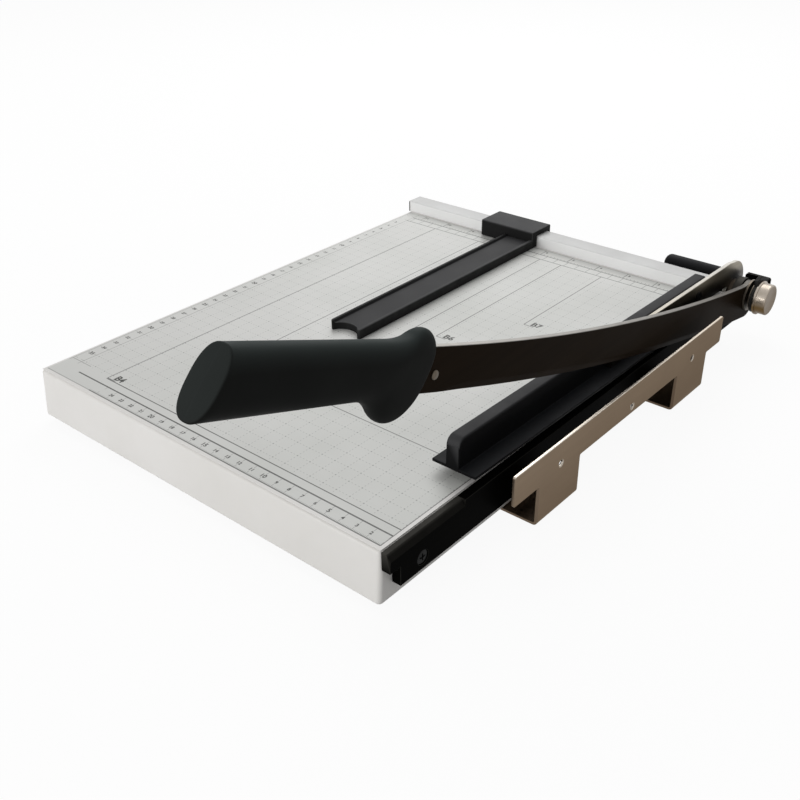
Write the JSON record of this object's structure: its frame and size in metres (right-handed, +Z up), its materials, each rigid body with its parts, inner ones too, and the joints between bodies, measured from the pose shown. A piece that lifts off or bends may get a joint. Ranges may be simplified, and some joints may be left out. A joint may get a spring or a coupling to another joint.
{
  "type": "guillotine paper cutter",
  "caption": "Table-top guillotine paper trimmer: tray with ruled table, rear fence and sliding gauge, hinged sickle blade arm, hinged press bar and blade guard.",
  "frame": {"origin": "on the bench, below the middle of the whole box with the arm as drawn", "axes": "+X to the right, square to the cut; +Y to the rear, along the cut towards the bolt; +Z up"},
  "size_m": [0.3292, 0.5475, 0.1967],
  "materials": {
    "tray_paint": "off-white stove enamel, faint orange peel",
    "table_print": "pale greenish-grey printed film with dark rulers and grid",
    "fence_paint": "pale grey paint on folded sheet",
    "black_steel": "blackened steel, semi-gloss, bright worn edges",
    "black_paint": "black paint, semi-gloss",
    "nickel": "nickel plate, satin",
    "bright_steel": "bright ground steel",
    "zinc_steel": "zinc-plated steel",
    "bronze": "plain bearing bronze",
    "black_plastic": "matte moulded black plastic, fine grain",
    "charcoal_plastic": "matte charcoal plastic",
    "black_rubber": "moulded black rubber",
    "felt": "wool felt"
  },
  "bodies": {
    "base": {"base_shell": "tray_paint", "print_sheet": "table_print", "rear_fence": "fence_paint", "fence_rivets": "zinc_steel", "knife_bar": "black_steel", "knife_screws": "zinc_steel", "knife_nuts": "zinc_steel", "guard": "nickel", "guard_screws": "zinc_steel", "guard_nuts": "zinc_steel", "rubber_feet": "black_rubber", "foot_screws": "zinc_steel", "foot_nuts": "zinc_steel", "pivot_bracket": "black_paint", "bracket_screws": "zinc_steel", "pivot_bolt": "nickel", "thrust_washer": "bright_steel", "disc_spring": "bright_steel", "spacer_bush": "bright_steel", "pivot_nut": "zinc_steel"},
    "arm": {"blade_arm": "black_steel", "arm_bush": "bronze", "handle_grip": "black_plastic", "tang_pins": "zinc_steel", "handle_rivet": "bright_steel"},
    "press": {"press_bar": "charcoal_plastic", "press_lever": "bright_steel", "lever_rivets": "zinc_steel", "press_rod": "zinc_steel", "press_sleeve": "black_plastic"},
    "gauge": {"gauge_block": "charcoal_plastic", "gauge_bar": "charcoal_plastic", "gauge_screws": "zinc_steel", "gauge_pad": "felt"}
  },
  "joints": [
    {"name": "arm_hinge", "type": "hinge", "parent": "base", "child": "arm", "pos_m": [0.14342, 0.25368, 0.0355], "axis": [-1, 0, 0], "range_deg": [-13, 55]},
    {"name": "press_hinge", "type": "hinge", "parent": "base", "child": "press", "pos_m": [0.14342, 0.25368, 0.0355], "axis": [-1, 0, 0], "range_deg": [-1, 18]},
    {"name": "gauge_slide", "type": "slide", "parent": "base", "child": "gauge", "axis": [1, 0, 0], "range_m": [-0.08, 0.13]}
  ]
}
